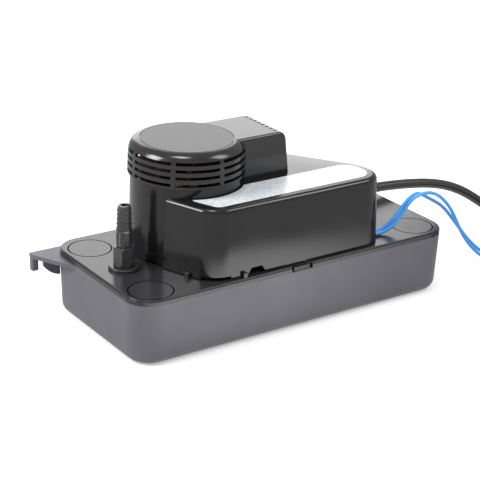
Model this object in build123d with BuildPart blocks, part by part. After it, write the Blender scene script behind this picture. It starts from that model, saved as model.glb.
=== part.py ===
from build123d import *
import os
from math import asin, atan2, cos, degrees, pi, radians, sin, tan

os.makedirs("parts", exist_ok=True)

# Condensate pump, millimetres. X runs along the tank, Y to the back, Z up.
# The origin is the middle of the tank's underside.

# ---- driving dimensions: tank and deck ----
tank_length = 280.0
tank_width = 128.0
tank_corner = 19.5
rim_z = 46.6            # top of the tank wall, where the deck lies
deck_z = 50.8           # top of the deck
tank_wall = 2.5
tank_draft = 1.9        # degrees
tank_foot_round = 8.0
deck_step_z = 49.7       # shoulder in the deck's edge, below its top
ear_reach = 17.5        # each hanging ear stands this far out past the tank's end
ear_thick = 3.2         # its plate is flush with the rim

# ---- motor cover and vented cap ----
motor_x, motor_y = -57.5, 8.5       # axis of motor, pump and round cover
cover_foot = 51.6                   # lower edge of the motor cover
cover_top = 103.5                   # flat top of its box-shaped part
cover_wall = 2.2
cover_draft = 2.2
drum_r_foot, drum_r_top = 41.6, 41.0
cap_foot, cap_top = 111.4, 136.0
cap_r_foot, cap_r_top = 43.0, 42.6
cap_round = 9.0
cap_wall = 2.4
duct_end_foot, duct_end_top = 17.8, 13.6
duct_width = 47.5
duct_end_round = 7.0

# ---- inlets and outlet ----
inlet_places = {"inlet_plug_rear": (-119.8, 40.5), "inlet_plug_front": (-120.1, -46.1),
                "inlet_plug_right": (117.5, -44.5)}
inlet_bore_r = 14.0     # hole through the deck
inlet_disc_r = 16.0     # recess that takes the plug's disc
inlet_collar_r = 14.9   # collar under the deck, inside the tank wall
outlet_x, outlet_y = -116.5, -3.5   # axis of check valve and hose barb
hex_foot, hex_top = 55.1, 68.0
hex_flats = 14.1
barb_foot, barb_top = 81.0, 98.9
barb_bore_r = 2.8

# ---- motor ----
shaft_r = 3.0
rotor_r, stator_bore_r = 13.1, 13.4
core_foot, core_top = 66.0, 90.0
bolt_offset = 20.0

# ---- pump ----
volute_r = 27.5
volute_foot, volute_top = 9.0, 23.0
pipe_z = 15.0

# ---- float and switches ----
float_x, float_y = 8.0, -30.0
float_travel = 15.0
lever_arm = 28.0
pivot_x, pivot_z = float_x + lever_arm, 76.0
lever_tilt = degrees(asin(float_travel / 2 / lever_arm))
switch_thick = 10.3

# ---- cords ----
cord_d = 8.0
lead_d = 2.8
coil_mean_r = 42.0
coil_x, coil_y = 282.8, -61.9

motor_axis = Axis((motor_x, motor_y, 0), (0, 0, 1))


def save(piece, name):
    piece.part.label = name
    export_step(piece.part, f"parts/{name}.step")


def level(z):
    return Plane.XY.offset(z)


def radial_plane(x, y, angle=0.0):
    """Upright plane through (x, y): its x points out at the angle, its y points up."""
    a = radians(angle)
    return Plane(origin=(x, y, 0), x_dir=(cos(a), sin(a), 0), z_dir=(sin(a), -cos(a), 0))


def turned(x, y, *profile):
    """Solid of revolution about the upright axis at (x, y), from (radius, height) points."""
    with BuildPart() as body:
        with BuildSketch(radial_plane(x, y)):
            with BuildLine():
                Polyline(*profile, close=True)
            make_face()
        revolve(axis=Axis((x, y, 0), (0, 0, 1)))
    return body


def drafted_tray(inset, top, foot, foot_round):
    with BuildPart() as block:
        with BuildSketch(level(top)):
            RectangleRounded(tank_length - 2 * inset, tank_width - 2 * inset, tank_corner - inset)
        extrude(amount=top - foot, dir=(0, 0, -1), taper=tank_draft)
        fillet(block.faces().sort_by(Axis.Z)[0].edges(), foot_round)
    return block.part


# ---- tank with its two hanging ears and two deck catches ----
end_x, back_y = tank_length / 2, tank_width / 2
ear_tip = end_x + ear_reach
ear_low = rim_z - ear_thick
hook_foot, hook_size = 33.6, 5.2
gusset_x, gusset_thick = 147.1, 3.2

with BuildPart() as ear:
    with BuildSketch(level(ear_low)):
        with BuildLine():
            Polyline((end_x - 12, back_y), (ear_tip, back_y), (ear_tip, back_y - hook_size),
                     (end_x - 1.5, 22.5), (end_x - 12, 22.5), close=True)
        make_face()
    extrude(amount=ear_thick)
    # down-turned tooth at the tip
    with BuildSketch(level(hook_foot)):
        with Locations((ear_tip - hook_size / 2, back_y - hook_size / 2)):
            RectangleRounded(hook_size, hook_size, 1.0)
    extrude(amount=ear_low + 1 - hook_foot)
    # gusset with a curved lower edge, flush with the tank's back
    with BuildSketch(Plane.XZ.offset(-back_y + 0.4)):
        with BuildLine():
            Line((end_x - 6, ear_low + 1), (gusset_x, ear_low + 1))
            Line((gusset_x, ear_low + 1), (gusset_x, 34.4))
            ThreePointArc((gusset_x, 34.4), (142.6, 29.4), (end_x - 6, 25.6))
            Line((end_x - 6, 25.6), (end_x - 6, ear_low + 1))
        make_face()
    extrude(amount=gusset_thick)

tank_outside = drafted_tray(0, rim_z, 0, tank_foot_round)
tank_hollow = drafted_tray(tank_wall, rim_z, tank_wall, tank_foot_round - tank_wall)
catch_x, catch_long = -2.6, 14.0

with BuildPart() as tank:
    add(tank_outside)
    add(ear.part)
    mirror(ear.part, about=Plane.YZ)
    add(tank_hollow, mode=Mode.SUBTRACT)
    with BuildSketch(level(rim_z)):
        for side in (-1, 1):
            with Locations((catch_x, side * (back_y - 1.5))):
                Rectangle(catch_long, 1.8)
    extrude(amount=deck_z - rim_z - 0.6)
save(tank, "tank")

# ---- deck ----
boss_r, boss_top = 11.3, 53.2
valve_spigot_r, valve_spigot_foot = 5.6, 48.4
lip_gap = 0.4
lip_inset = tank_wall + lip_gap
lip_foot = rim_z - 5.0
post_places = [(motor_x + i * bolt_offset, motor_y + j * bolt_offset) for i in (-1, 1) for j in (-1, 1)]
post_top = core_foot - 4.0
pad_places = [(-55, -58.3), (5, -58.3), (62, -58.3), (5, 48.5), (-30, 48.5)]
lug_places = {(-51.2, -61.2): 0, (-87.0, -40.6): 70}

with BuildPart() as deck:
    with BuildSketch(level(rim_z)):
        RectangleRounded(tank_length, tank_width, tank_corner)
    extrude(amount=deck_step_z - rim_z)
    fillet(deck.faces().sort_by(Axis.Z)[-1].edges(), 0.4)
    # raised middle, which leaves a narrow shoulder all round
    with BuildSketch(level(deck_step_z)):
        RectangleRounded(tank_length - 1.6, tank_width - 1.6, tank_corner - 0.8)
    extrude(amount=deck_z - deck_step_z)
    fillet(deck.faces().sort_by(Axis.Z)[-1].edges(), 0.7)
    # locating lip just inside the tank wall
    with BuildSketch(level(lip_foot)):
        RectangleRounded(tank_length - 2 * lip_inset, tank_width - 2 * lip_inset, tank_corner - lip_inset)
        offset(amount=-2.0, mode=Mode.SUBTRACT)
    extrude(amount=rim_z - lip_foot)
    # cross ribs and a collar under each inlet
    with BuildSketch(level(lip_foot)):
        with Locations((60, 0), (88, 0), (-95, 0)):
            Rectangle(2.0, tank_width - 2 * lip_inset - 1)
        with Locations(*inlet_places.values()):
            Circle(inlet_collar_r)
    extrude(amount=rim_z - lip_foot)
    # round boss under the check valve, and motor posts
    with BuildSketch(level(deck_z)):
        with Locations((outlet_x, outlet_y)):
            Circle(boss_r)
    extrude(amount=boss_top - deck_z)
    fillet(deck.faces().sort_by(Axis.Z)[-1].edges(), 1.0)
    with BuildSketch(level(deck_z)):
        with Locations(*post_places):
            Circle(4.5)
    extrude(amount=post_top - deck_z)
    # seats for the cover's lower edge, and its snap lugs
    with BuildSketch(level(deck_z)):
        with Locations(*pad_places):
            Rectangle(6, 1.6)
    extrude(amount=cover_foot - deck_z)
    with BuildSketch(level(deck_z)):
        for place, turn in lug_places.items():
            with Locations(Location(place, -turn)):
                RectangleRounded(3.6, 2.2, 0.8)
    extrude(amount=3.6)
    # spigot for the discharge pipe
    with BuildSketch(level(rim_z - 6.6)):
        with Locations((outlet_x, outlet_y)):
            Circle(3.95)
    extrude(amount=6.6)
    # openings
    with Locations(*[(x, y, deck_z) for x, y in inlet_places.values()]):
        CounterBoreHole(inlet_bore_r, inlet_disc_r, 2.0, depth=20)
    with Locations((outlet_x, outlet_y, boss_top)):
        CounterBoreHole(barb_bore_r, valve_spigot_r + 0.05, boss_top - valve_spigot_foot + 0.1, depth=30)
    with Locations((motor_x, motor_y, deck_z)):
        Hole(9.0, depth=10)
    with Locations((float_x, float_y, deck_z)):
        Hole(2.5, depth=10)
    with Locations(*[(x, y, post_top) for x, y in post_places]):
        Hole(1.6, depth=14)
    with BuildSketch(level(rim_z)):
        for side in (-1, 1):
            with Locations((catch_x, side * back_y)):
                Rectangle(catch_long + 4.5, 5.6)
    extrude(amount=6, mode=Mode.SUBTRACT)
save(deck, "deck")

# ---- lift-out inlet plugs ----
disc_foot = deck_z - 1.9
stub_r, stub_wall, stub_foot = inlet_bore_r - 0.08, 2.0, disc_foot - 4.1
for name, (x, y) in inlet_places.items():
    plug = turned(x, y, (0, disc_foot), (stub_r - stub_wall, disc_foot), (stub_r - stub_wall, stub_foot),
                  (stub_r - 0.5, stub_foot), (stub_r, stub_foot + 1), (stub_r, disc_foot),
                  (inlet_disc_r - 0.6, disc_foot), (inlet_disc_r - 0.6, deck_z), (0, deck_z))
    save(plug, name)

# ---- motor cover: a box-shaped shell run together with a drum ----
slant_front, slant_back = (75.0, -24.0), (24.6, 50.0)      # ends of the slanting back wall
cover_corners = [(-93.5, -18.5), (-78.0, -59.5), (75.0, -59.5), slant_front, slant_back,
                 (motor_x, 50.0), (motor_x, motor_y), (-77.0, -1.0)]
corner_rounds = {1: 19.0, 2: 10.0, 3: 13.0, 4: 14.0}


def cover_block(inset, foot, top, edge_round):
    """Drafted block on the cover's plan, pulled in by the inset, with a rounded upper edge."""
    with BuildPart() as block:
        with BuildSketch(level(foot)) as plan:
            with BuildLine():
                Polyline(*cover_corners, close=True)
            make_face()
            for index, radius in corner_rounds.items():
                corner = plan.vertices().sort_by_distance((*cover_corners[index], foot))[0]
                fillet(corner, radius)
            if inset:
                offset(amount=-inset, kind=Kind.INTERSECTION, mode=Mode.REPLACE)
        extrude(amount=top - foot, taper=cover_draft)
        if edge_round:
            fillet(block.faces().sort_by(Axis.Z)[-1].edges(), edge_round)
    return block.part


def drum(r_foot, r_top, foot, top):
    return turned(motor_x, motor_y, (0, foot), (r_foot, foot), (r_top, top), (0, top)).part


# run and outward direction of the slanting back wall, where the mains cord comes out
wall_run = Vector(*slant_back, 0) - Vector(*slant_front, 0)
wall_level = Vector(wall_run.Y, -wall_run.X, 0).normalized()
wall_out = wall_level * cos(radians(cover_draft)) + Vector(0, 0, sin(radians(cover_draft)))
gland_z = 60.0
gland_inset = (gland_z - cover_foot) * tan(radians(cover_draft))
gland = Vector(*slant_front, gland_z) + wall_run * 0.2 - wall_level * gland_inset
lead_gate_y = -45.1

cover_shell = cover_block(0, cover_foot, cover_top, 3.0)
cover_hollow = cover_block(cover_wall, cover_foot, cover_top - cover_wall, 0)
drum_shell = drum(drum_r_foot, drum_r_top, cover_foot, cap_foot)
drum_hollow = drum(drum_r_foot - cover_wall, drum_r_top - cover_wall, cover_foot, cap_foot)

with BuildPart() as motor_cover:
    add(cover_shell)
    add(drum_shell)
    # spigot that locates the cap
    with BuildSketch(level(cap_foot)):
        with Locations((motor_x, motor_y)):
            Circle(cap_r_top - cap_wall - 0.15)
    extrude(amount=1.1)
    add(cover_hollow, mode=Mode.SUBTRACT)
    add(drum_hollow, mode=Mode.SUBTRACT)
    with BuildSketch(level(cap_foot)):
        with Locations((motor_x, motor_y)):
            Circle(drum_r_top - cover_wall)
    extrude(amount=2, mode=Mode.SUBTRACT)
    # notches along the lower edge: front, front left corner, beside the drum, and the leads' gate
    with BuildSketch(Plane.XZ.offset(54)):
        with BuildLine():
            Polyline((-48.7, cover_foot - 1), (-48.7, 53.4), (-44.5, 56.2), (-35.8, 56.2), (-31.0, 53.4),
                     (-31.0, cover_foot - 1), close=True)
        make_face()
    extrude(amount=8, mode=Mode.SUBTRACT)
    with BuildSketch(level(cover_foot)):
        with Locations((-73, -56)):
            Rectangle(22, 14)
    extrude(amount=2.2, mode=Mode.SUBTRACT)
    with BuildSketch(level(cover_foot)):
        with Locations((-98, -9)):
            Rectangle(10, 15)
    extrude(amount=1.7, mode=Mode.SUBTRACT)
    with BuildSketch(level(cover_foot)):
        with Locations((73, lead_gate_y)):
            Rectangle(8, 8)
    extrude(amount=4.4, mode=Mode.SUBTRACT)
    # round hole for the strain relief
    with BuildSketch(Plane(origin=gland - wall_out * 6, z_dir=wall_out)):
        Circle(6.1)
    extrude(amount=12, mode=Mode.SUBTRACT)
save(motor_cover, "motor_cover")

# ---- vented cap with its exhaust duct ----
round_r = cap_r_top - cap_round         # where the flat top ends
slot_rows = (113.9, 119.2, 124.4, 129.5)
slot_high = 2.3
slot_rib, slot_pitch, first_rib = 4.6, 48.8, 273.4    # degrees; the ribs run clockwise from the first
rib_angles = [first_rib - slot_pitch * rib for rib in range(5)]
slot_sectors = [(first_rib + slot_rib / 2, 320.5), (39.5, rib_angles[-1] - slot_rib / 2)]
slot_sectors += [(right + slot_rib / 2, left - slot_rib / 2) for left, right in zip(rib_angles, rib_angles[1:])]


def cap_block(grow, foot):
    """The cap's outer form, or its hollow when grow is negative."""
    turn = cap_round + grow
    with BuildPart() as block:
        with BuildSketch(radial_plane(motor_x, motor_y)):
            with BuildLine():
                Polyline((round_r, cap_top + grow), (0, cap_top + grow), (0, foot), (cap_r_foot + grow, foot),
                         (round_r + turn, cap_top - cap_round))
                ThreePointArc((round_r + turn, cap_top - cap_round),
                              (round_r + turn * sin(pi / 4), cap_top - cap_round + turn * sin(pi / 4)),
                              (round_r, cap_top + grow))
            make_face()
        revolve(axis=motor_axis)
    return block.part


def duct_block(grow, upright_round, end_round):
    """The duct's outer form, or its hollow when grow is negative. Its end has a well rounded upper edge."""
    with BuildPart() as block:
        with BuildSketch(Plane.XZ.offset(-motor_y)) as side_view:
            with BuildLine():
                Polyline((motor_x, cover_top), (duct_end_foot + grow, cover_top),
                         (duct_end_top + grow, cap_top + grow), (motor_x, cap_top + grow), close=True)
            make_face()
            fillet(side_view.vertices().group_by(Axis.Y)[-1].sort_by(Axis.X)[-1], end_round)
        extrude(amount=duct_width / 2 + grow, both=True)
        uprights = block.edges().filter_by(lambda e: e.center().X > 5 and e.bounding_box().size.Z > 20)
        fillet(uprights, upright_round)
    return block.part


def slot_cutters():
    with BuildPart() as cutters:
        for start, end in slot_sectors:
            with BuildSketch(radial_plane(motor_x, motor_y, start)):
                for z in slot_rows:
                    with Locations((41.5, z)):
                        Rectangle(11, slot_high)
            revolve(axis=motor_axis, revolution_arc=end - start)
    return cutters.part


cap_outside, cap_inside = cap_block(0, cap_foot), cap_block(-cap_wall, cap_foot)
duct_outside = duct_block(0, 2.0, duct_end_round)
duct_inside = duct_block(-cover_wall, 1.0, duct_end_round - cover_wall)
slots = slot_cutters()
neck = drum(drum_r_foot + 0.1, drum_r_top + 0.1, cover_top - 1, cap_foot)
exhaust_slots, exhaust_pitch, exhaust_wide = 8, 5.1, 2.0
exhaust_foot, exhaust_reach = 107.0, 7.4     # the slots turn over the rounded edge onto the top

with BuildPart() as vent_cap:
    add(cap_outside)
    add(duct_outside)
    add(cap_inside, mode=Mode.SUBTRACT)
    add(duct_inside, mode=Mode.SUBTRACT)
    add(neck, mode=Mode.SUBTRACT)
    add(slots, mode=Mode.SUBTRACT)
    # groove round the flat medallion on top
    with BuildSketch(level(cap_top - 0.6)):
        with Locations((motor_x, motor_y)):
            Circle(34.4)
            Circle(33.8, mode=Mode.SUBTRACT)
    extrude(amount=1, mode=Mode.SUBTRACT)
    # upright exhaust slots in the duct's end
    with BuildSketch(Plane.YZ.offset(duct_end_top - exhaust_reach)):
        with Locations((motor_y, (exhaust_foot + cap_top + 1) / 2)):
            with GridLocations(exhaust_pitch, 1, exhaust_slots, 1):
                Rectangle(exhaust_wide, cap_top + 1 - exhaust_foot)
    extrude(amount=20, mode=Mode.SUBTRACT)
save(vent_cap, "vent_cap")

# ---- bare information plate on the cover's flat top ----
plate_corners = [(-76.5, -32.5), (-68.5, -50.5), (64.5, -50.5), (64.5, -21.5), (20, -18.0), (-20, -10), (-60, -20)]
plate_rounds = {1: 9.0, 2: 12.0, 3: 3.0}

with BuildPart() as info_plate:
    with BuildSketch(level(cover_top)) as plate_plan:
        with BuildLine():
            Polyline(*plate_corners, close=True)
        make_face()
        for index, radius in plate_rounds.items():
            fillet(plate_plan.vertices().sort_by_distance((*plate_corners[index], cover_top))[0], radius)
        with Locations((motor_x, motor_y)):
            Circle(drum_r_foot + 0.9, mode=Mode.SUBTRACT)
        with Locations((motor_x, motor_y)):
            Rectangle(2 * (duct_end_foot - motor_x) + 1, duct_width + 1, mode=Mode.SUBTRACT)
    extrude(amount=0.3)
save(info_plate, "info_plate")

# ---- motor: laminated core, coil, rotor, shaft, bearings, brackets and bolts ----
leg_x = motor_x + 39.0      # middle of the leg that carries the coil
leg_wide = 12.0
window_half = 14.0

with BuildPart() as stator_core:
    with BuildSketch(level(core_foot)):
        with Locations((motor_x + 10, motor_y)):
            RectangleRounded(70, 50, 2)
        with Locations((motor_x + 26, motor_y)):
            Rectangle(14, 2 * window_half, mode=Mode.SUBTRACT)
        with Locations((motor_x, motor_y)):
            Circle(stator_bore_r, mode=Mode.SUBTRACT)
            with GridLocations(2 * bolt_offset, 2 * bolt_offset, 2, 2):
                Circle(1.7, mode=Mode.SUBTRACT)
    extrude(amount=core_top - core_foot)
save(stator_core, "stator_core")

core_mid = (core_foot + core_top) / 2
leg_plane = Plane.XZ.offset(-motor_y)
with BuildPart() as coil_bobbin:
    with BuildSketch(leg_plane):
        with Locations((leg_x, core_mid)):
            Rectangle(leg_wide + 3.2, 27.2)
    extrude(amount=window_half - 0.3, both=True)
    for side in (-1, 1):
        with BuildSketch(leg_plane.offset(side * (window_half - 1.0))):
            with Locations((leg_x, core_mid)):
                RectangleRounded(30, 42, 2)
        extrude(amount=0.7, both=True)
    with BuildSketch(leg_plane):
        with Locations((leg_x, core_mid)):
            Rectangle(leg_wide + 0.2, 24.2)
    extrude(amount=20, both=True, mode=Mode.SUBTRACT)
save(coil_bobbin, "coil_bobbin")

with BuildPart() as motor_coil:
    with BuildSketch(leg_plane):
        with Locations((leg_x, core_mid)):
            RectangleRounded(28, 40, 6)
            Rectangle(leg_wide + 3.3, 27.3, mode=Mode.SUBTRACT)
    extrude(amount=window_half - 1.8, both=True)
save(motor_coil, "motor_coil")

rotor = turned(motor_x, motor_y, (shaft_r, core_foot - 0.5), (8.5, core_foot - 0.5), (8.5, core_foot + 0.5),
               (rotor_r - 1, core_foot + 0.5), (rotor_r, core_foot + 1.5), (rotor_r, core_top - 1.5),
               (rotor_r - 1, core_top - 0.5), (8.5, core_top - 0.5), (8.5, core_top + 0.5), (shaft_r, core_top + 0.5))
save(rotor, "rotor")

shaft_foot, shaft_top = 11.0, 127.0
motor_shaft = turned(motor_x, motor_y, (0, shaft_foot), (shaft_r - 0.4, shaft_foot), (shaft_r, shaft_foot + 0.4),
                     (shaft_r, shaft_top - 0.4), (shaft_r - 0.4, shaft_top), (0, shaft_top))
save(motor_shaft, "motor_shaft")

bearing_r, bearing_high = 6.0, 8.0
bracket_thick = 3.0
brackets = {"lower": (post_top, bracket_thick - bearing_high), "upper": (core_top + 1.0, 0)}
for where, (foot, hub_shift) in brackets.items():
    hub_foot = foot + hub_shift
    with BuildPart() as bracket:
        with BuildSketch(level(foot)):
            with Locations((motor_x, motor_y)):
                Circle(11.0)
            with Locations(Location((motor_x, motor_y), 45), Location((motor_x, motor_y), -45)):
                SlotCenterToCenter(2 * bolt_offset * 2 ** 0.5, 9)
        extrude(amount=bracket_thick)
        with BuildSketch(level(hub_foot)):
            with Locations((motor_x, motor_y)):
                Circle(bearing_r + 2.5)
        extrude(amount=bearing_high)
        with BuildSketch(level(hub_foot - 1)):
            with Locations((motor_x, motor_y)):
                Circle(bearing_r)
        extrude(amount=bearing_high + 2, mode=Mode.SUBTRACT)
        with BuildSketch(level(foot - 1)):
            with Locations(*post_places):
                Circle(1.7)
        extrude(amount=bracket_thick + 2, mode=Mode.SUBTRACT)
    save(bracket, f"{where}_bracket")
    bearing = turned(motor_x, motor_y, (shaft_r + 0.04, hub_foot), (bearing_r, hub_foot),
                     (bearing_r, hub_foot + bearing_high), (shaft_r + 0.04, hub_foot + bearing_high))
    save(bearing, f"{where}_bearing")

with BuildPart() as motor_bolts:
    head_z = core_top + 1.0 + bracket_thick
    with BuildSketch(level(post_top - 10)):
        with Locations(*post_places):
            Circle(1.55)
    extrude(amount=head_z - post_top + 10.5)
    with BuildSketch(level(head_z)):
        with Locations(*post_places):
            RegularPolygon(3.4, 6)
    extrude(amount=2.6)
save(motor_bolts, "motor_bolts")

# spacers between the core and its brackets keep the stack clamped
with BuildPart() as core_spacers:
    for foot, top in ((post_top + bracket_thick, core_foot), (core_top, core_top + 1.0)):
        with BuildSketch(level(foot)):
            with Locations(*post_places):
                Circle(3.6)
                Circle(1.7, mode=Mode.SUBTRACT)
        extrude(amount=top - foot)
save(core_spacers, "core_spacers")

# ---- cooling fan on the shaft's upper end ----
def curved_blade(inner_r, outer_r, bow, thick, foot, height):
    """One upright blade along +X from the origin, bowed to one side."""
    middle = (inner_r + outer_r) / 2
    with BuildPart() as blade:
        with BuildSketch(level(foot)):
            with BuildLine():
                ThreePointArc((inner_r, thick / 2), (middle, bow + thick / 2), (outer_r, thick / 2))
                Line((outer_r, thick / 2), (outer_r, -thick / 2))
                ThreePointArc((outer_r, -thick / 2), (middle, bow - thick / 2), (inner_r, -thick / 2))
                Line((inner_r, -thick / 2), (inner_r, thick / 2))
            make_face()
        extrude(amount=height)
    return blade.part


fan_foot, fan_r, fan_blades = 113.0, 36.0, 9
fan_blade = curved_blade(6.0, 34.0, 4.5, 1.5, fan_foot + 1, 11.0)
with BuildPart() as cooling_fan:
    with BuildSketch(level(fan_foot)):
        with Locations((motor_x, motor_y)):
            Circle(fan_r)
    extrude(amount=1.4)
    with BuildSketch(level(fan_foot - 4)):
        with Locations((motor_x, motor_y)):
            Circle(7.0)
    extrude(amount=14)
    with Locations((motor_x, motor_y)):
        with PolarLocations(0, fan_blades):
            add(fan_blade)
    with Locations((motor_x, motor_y, fan_foot + 12)):
        Hole(shaft_r, depth=30)
save(cooling_fan, "cooling_fan")

# ---- pump column, volute, impeller and strainer base ----
column_screw_places = [(motor_x + 16 * cos(radians(a)), motor_y + 16 * sin(radians(a))) for a in (90, 210, 330)]
with BuildPart() as pump_column:
    add(turned(motor_x, motor_y, (8.2, volute_top), (24, volute_top), (24, volute_top + 2), (12.5, volute_top + 4),
               (11.0, rim_z - 3), (20.5, rim_z - 3), (20.5, rim_z), (8.2, rim_z)).part)
    with BuildSketch(level(rim_z - 4)):
        with Locations(*column_screw_places):
            Circle(1.6)
    extrude(amount=6, mode=Mode.SUBTRACT)
save(pump_column, "pump_column")

with BuildPart() as column_screws:
    with BuildSketch(level(rim_z - 5.2)):
        with Locations(*column_screw_places):
            Circle(3.0)
    extrude(amount=2.2)
    with BuildSketch(level(rim_z - 3.2)):
        with Locations(*column_screw_places):
            Circle(1.5)
    extrude(amount=3.0)
save(column_screws, "column_screws")

# the throat leaves the volute along a tangent that runs to the outlet's axis
throat_arm, throat_wide, throat_long = 21.3, 12.6, volute_r + 3.0
to_motor = Vector(motor_x - outlet_x, motor_y - outlet_y, 0)
throat_angle = degrees(atan2(to_motor.Y, to_motor.X) - asin(throat_arm / to_motor.length))
throat_run = Vector(1, 0, 0).rotate(Axis.Z, throat_angle)
pipe_long = (to_motor.length ** 2 - throat_arm ** 2) ** 0.5 - throat_long
pipe_start = Vector(outlet_x, outlet_y, pipe_z) + throat_run * pipe_long
throat_middle = pipe_start + throat_run * (throat_long / 2)
with BuildPart() as volute:
    with BuildSketch(level(volute_foot)):
        with Locations((motor_x, motor_y)):
            Circle(volute_r)
        with Locations(Location((throat_middle.X, throat_middle.Y), throat_angle)):
            Rectangle(throat_long, throat_wide)
    extrude(amount=volute_top - volute_foot)
    with BuildSketch(level(volute_foot)):
        with Locations((motor_x, motor_y)):
            Circle(volute_r - 5.8)
    extrude(amount=volute_top - volute_foot - 2.2, mode=Mode.SUBTRACT)
    with BuildSketch(Plane(origin=pipe_start - throat_run, z_dir=throat_run)):
        Circle(4.0)
    extrude(amount=throat_long + 1, mode=Mode.SUBTRACT)
    with BuildSketch(level(volute_top - 3)):
        with Locations((motor_x, motor_y)):
            Circle(4.2)
    extrude(amount=4, mode=Mode.SUBTRACT)
save(volute, "volute")

impeller_foot, impeller_r, impeller_vanes = 10.6, 18.5, 6
impeller_vane = curved_blade(4.0, impeller_r, 3.0, 1.6, impeller_foot, 7.0)
with BuildPart() as impeller:
    with BuildSketch(level(impeller_foot + 6.6)):
        with Locations((motor_x, motor_y)):
            Circle(impeller_r)
    extrude(amount=1.6)
    with BuildSketch(level(impeller_foot)):
        with Locations((motor_x, motor_y)):
            Circle(5.0)
    extrude(amount=7.0)
    with Locations((motor_x, motor_y)):
        with PolarLocations(0, impeller_vanes):
            add(impeller_vane)
    with Locations((motor_x, motor_y, impeller_foot + 8.2)):
        Hole(shaft_r, depth=20)
save(impeller, "impeller")

with BuildPart() as strainer_base:
    with BuildSketch(level(volute_foot - 2)):
        with Locations((motor_x, motor_y)):
            Circle(volute_r)
            Circle(8.0, mode=Mode.SUBTRACT)
    extrude(amount=2)
    with BuildSketch(level(tank_wall + 0.3)):
        with Locations((motor_x, motor_y)):
            Circle(22.0)
            Circle(20.0, mode=Mode.SUBTRACT)
            with PolarLocations(21.0, 16):
                Rectangle(4.4, 3.0, mode=Mode.SUBTRACT)
    extrude(amount=volute_foot - 2 - tank_wall - 0.3)
save(strainer_base, "strainer_base")

volute_screw_places = [(motor_x + 24.7 * cos(radians(a)), motor_y + 24.7 * sin(radians(a))) for a in (0, 90, 180)]
with BuildPart() as volute_screws:
    with BuildSketch(level(volute_foot - 3.6)):
        with Locations(*volute_screw_places):
            Circle(2.4)
    extrude(amount=1.6)
save(volute_screws, "volute_screws")

with BuildPart() as discharge_pipe:
    with BuildLine() as route:
        FilletPolyline(pipe_start, (outlet_x, outlet_y, pipe_z), (outlet_x, outlet_y, rim_z), radius=13)
    with BuildSketch(Plane(origin=route.line @ 0, z_dir=route.line % 0)):
        Circle(6.0)
        Circle(4.0, mode=Mode.SUBTRACT)
    sweep(path=route.line)
save(discharge_pipe, "discharge_pipe")

# ---- check valve, hose barb, ball, spring and seal ----
ball_r, seat_r, seat_z = 3.1, 2.0, 50.2
ball_z = seat_z + (ball_r ** 2 - seat_r ** 2) ** 0.5 + 0.06
chamber_r, chamber_top, thread_r = 3.7, 63.8, 5.3
hex_corner, hex_edge = hex_flats / 2 + 1.4, hex_flats / 2 + 0.3
hex_turned = turned(outlet_x, outlet_y, (0, hex_foot), (hex_edge, hex_foot), (hex_corner, hex_foot + 0.7),
                    (hex_corner, hex_top - 0.7), (hex_edge, hex_top), (0, hex_top))
with BuildPart() as check_valve:
    with BuildSketch(level(hex_foot)):
        with Locations((outlet_x, outlet_y)):
            RegularPolygon(hex_flats / 2, 6, major_radius=False, rotation=-130.5)
    extrude(amount=hex_top - hex_foot)
    # turned-off corners, as on a nut
    add(hex_turned.part, mode=Mode.INTERSECT)
    with BuildSketch(level(valve_spigot_foot)):
        with Locations((outlet_x, outlet_y)):
            Circle(valve_spigot_r)
    extrude(amount=hex_foot - valve_spigot_foot)
    add(turned(outlet_x, outlet_y, (0, 40), (seat_r, 40), (seat_r, seat_z), (chamber_r, seat_z + 1.7),
               (chamber_r, chamber_top), (thread_r, chamber_top), (thread_r, 90), (0, 90)).part,
        mode=Mode.SUBTRACT)
save(check_valve, "check_valve")

valve_seal = turned(outlet_x, outlet_y, (valve_spigot_r + 0.05, boss_top), (7.6, boss_top), (7.6, hex_foot - 0.5),
                    (7.1, hex_foot), (valve_spigot_r + 0.05, hex_foot))
save(valve_seal, "valve_seal")

with BuildPart() as valve_ball:
    with Locations((outlet_x, outlet_y, ball_z)):
        Sphere(ball_r)
save(valve_ball, "valve_ball")

spring_foot, spring_turns = ball_z + ball_r + 0.1, 4
with BuildPart() as valve_spring:
    with BuildLine() as spiral:
        Helix(pitch=(chamber_top - spring_foot - 0.8) / spring_turns, height=chamber_top - spring_foot - 0.8,
              radius=2.6, center=(outlet_x, outlet_y, spring_foot + 0.4))
    with BuildSketch(Plane(origin=spiral.line @ 0, z_dir=spiral.line % 0)):
        RegularPolygon(0.4, 6)
    sweep(path=spiral.line, is_frenet=True)
save(valve_spring, "valve_spring")

barb_rings, barb_r, barb_root_r, collar_high = 5, 5.8, 4.7, 1.4
ring_pitch = (barb_top - 1.2 - barb_foot) / barb_rings
barb_profile = [(barb_bore_r, chamber_top), (thread_r, chamber_top), (thread_r, barb_foot - collar_high),
                (barb_r, barb_foot - collar_high), (barb_r, barb_foot)]
for ring in range(barb_rings):
    z = barb_foot + ring * ring_pitch
    crest = barb_r - 0.12 * ring
    barb_profile += [(barb_root_r, z + 0.5), (crest, z + 0.6), (barb_root_r, z + ring_pitch)]
barb_profile += [(barb_root_r - 0.3, barb_top), (barb_bore_r, barb_top)]
hose_barb = turned(outlet_x, outlet_y, *barb_profile)
save(hose_barb, "hose_barb")

# ---- float, its rod, and the switch mechanism ----
float_foot, float_high, float_r = 5.0, 18.0, 22.0
tank_float = turned(float_x, float_y, (2.0, float_foot), (float_r - 2, float_foot), (float_r, float_foot + 2),
                    (float_r, float_foot + float_high - 2), (float_r - 2, float_foot + float_high),
                    (2.0, float_foot + float_high))
save(tank_float, "tank_float")

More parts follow.
